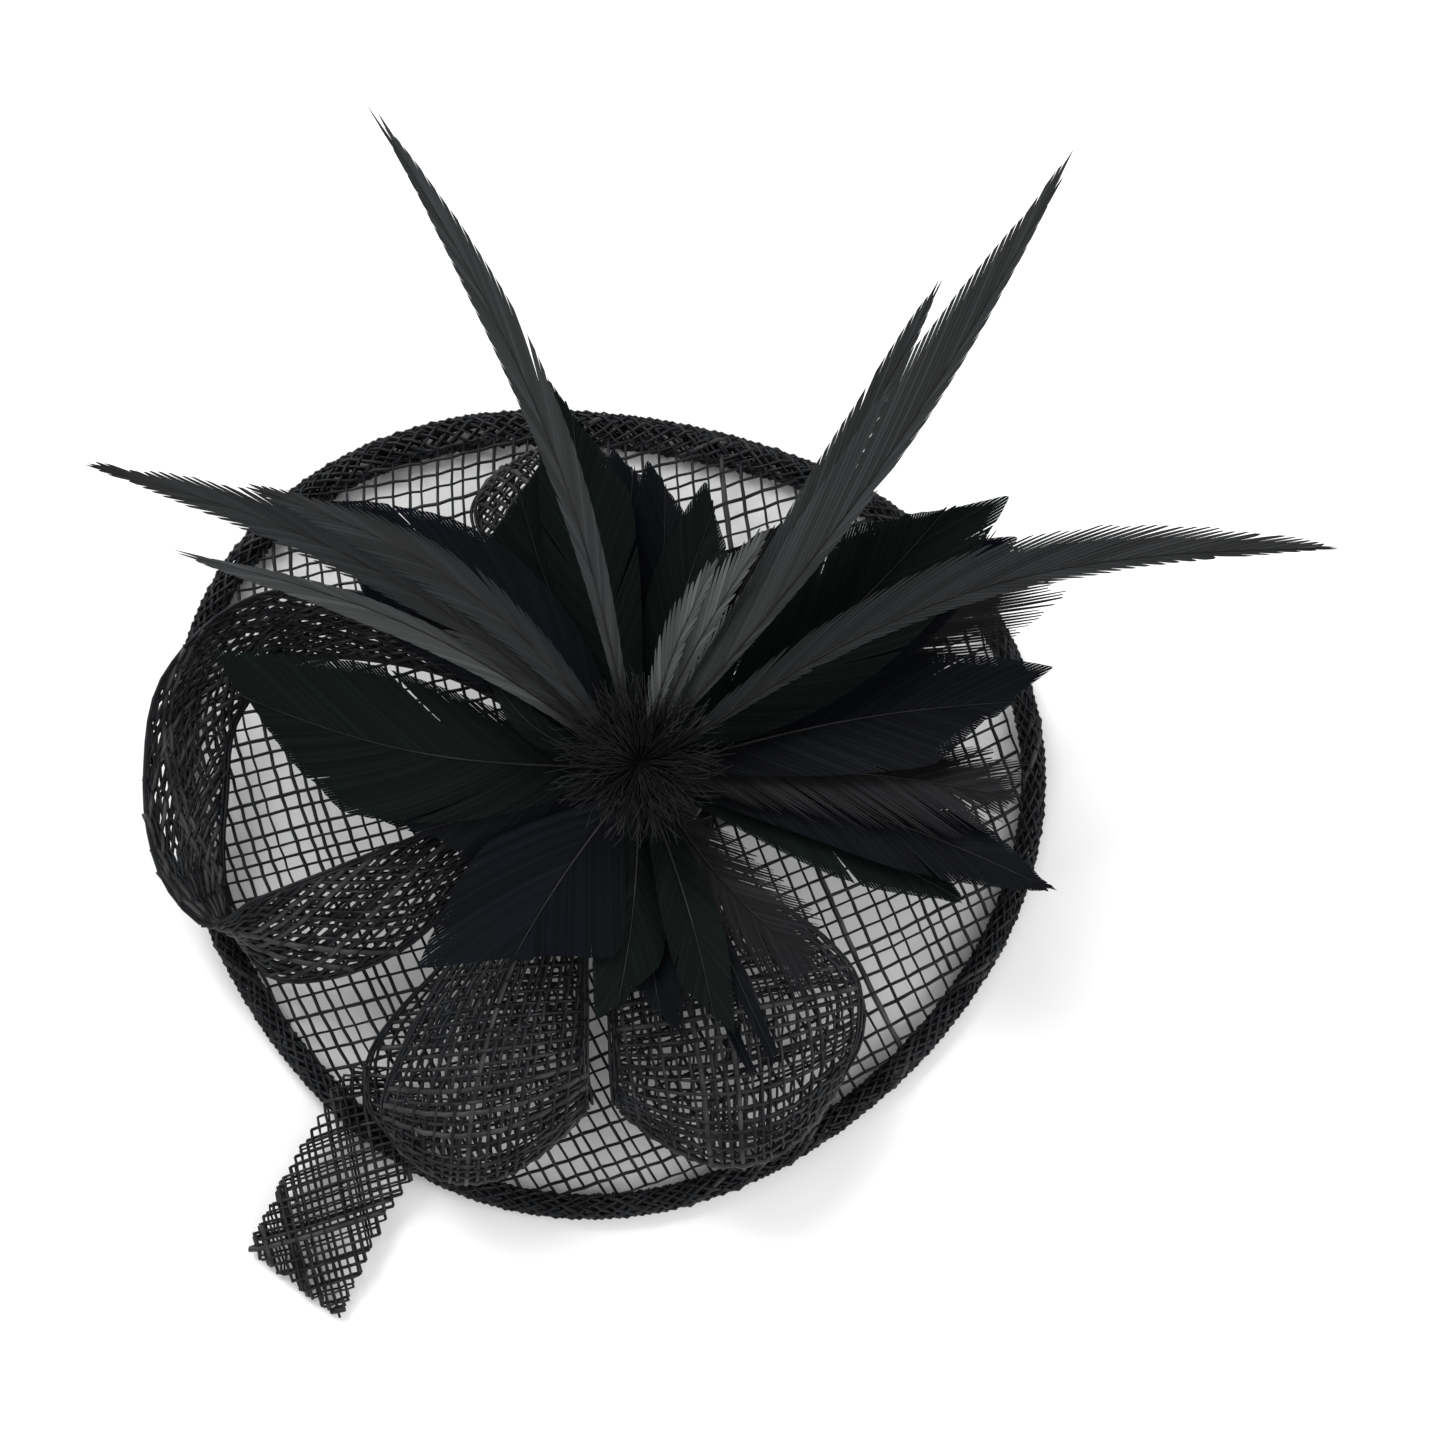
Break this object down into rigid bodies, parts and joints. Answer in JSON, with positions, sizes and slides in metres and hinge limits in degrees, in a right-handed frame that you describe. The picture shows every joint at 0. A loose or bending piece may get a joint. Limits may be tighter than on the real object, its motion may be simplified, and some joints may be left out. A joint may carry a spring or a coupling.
{
  "type": "fascinator headpiece",
  "caption": "Black fascinator: a domed sinamay saucer with a rolled rim, ribbon loops and a tail, a spray of hackle and broad feathers, and a sprung hair clip underneath.",
  "frame": {"origin": "middle of the saucer, on the plane that the rolled rim rests on", "axes": "+Z away from the wearer's head, +Y towards the two tall hackles, +X towards the long feathers on the side away from the big standing loop"},
  "size_m": [0.1605, 0.1545, 0.0823],
  "materials": {
    "sinamay": "open stiffened net, satin yarns",
    "ribbon": "open stiffened net, satin yarns",
    "wire": "dull wire",
    "thread": "matt thread",
    "felt": "matt felt",
    "hackle": "striated, grey sheen",
    "goose_feather": "deep black, faint sheen",
    "clip_steel": "nickel plated",
    "spring_steel": "bright wire"
  },
  "bodies": {
    "headpiece": {"backing_pad": "felt", "base_disc": "sinamay", "bottom_feather_left": "goose_feather", "bottom_feather_middle": "goose_feather", "bottom_feather_right": "goose_feather", "broad_feather_corner": "goose_feather", "broad_feather_large": "goose_feather", "broad_feather_left": "goose_feather", "broad_feather_low_left": "goose_feather", "broad_feather_notched": "goose_feather", "broad_feather_right": "goose_feather", "broad_feather_top": "goose_feather", "broad_feather_top_behind": "goose_feather", "broad_feather_top_left": "goose_feather", "broad_feather_top_right": "goose_feather", "broad_feather_tucked": "goose_feather", "broad_feather_under_left": "goose_feather", "broad_feather_upper_left": "goose_feather", "centre_wrap": "ribbon", "clip_arm": "clip_steel", "clip_pin": "clip_steel", "clip_spring": "spring_steel", "fan_tip_left": "hackle", "fan_tip_middle": "hackle", "fan_tip_right": "hackle", "feather_pad": "felt", "fringed_feather": "goose_feather", "hackle_left": "hackle", "hackle_left_high": "hackle", "hackle_left_low": "hackle", "hackle_right": "hackle", "hackle_upper_left": "hackle", "hackle_upper_right": "hackle", "hackle_upper_right_side": "hackle", "leaf_feather": "goose_feather", "left_loop": "ribbon", "lower_left_loop": "ribbon", "lower_right_loop": "ribbon", "pointed_feather_long": "goose_feather", "pointed_feather_short": "goose_feather", "quill_binding": "thread", "rim_roll": "sinamay", "rim_wire": "wire", "sheer_feather": "goose_feather", "sheer_feather_low": "goose_feather", "square_feather": "goose_feather", "stitch_tacks": "thread", "stripped_feather_left": "goose_feather", "stripped_feather_right": "goose_feather", "tail_ribbon": "ribbon", "top_loop": "ribbon"},
    "jaw": {"clip_jaw": "clip_steel"}
  },
  "joints": [
    {"name": "clip_hinge", "type": "hinge", "parent": "headpiece", "child": "jaw", "pos_m": [0.008, 0, 0.0099], "axis": [0, -1, 0], "range_deg": [0, 25], "stiffness_Nm_per_rad": 0.03, "springref_deg": -22.92, "deforming": ["clip_spring"]}
  ]
}
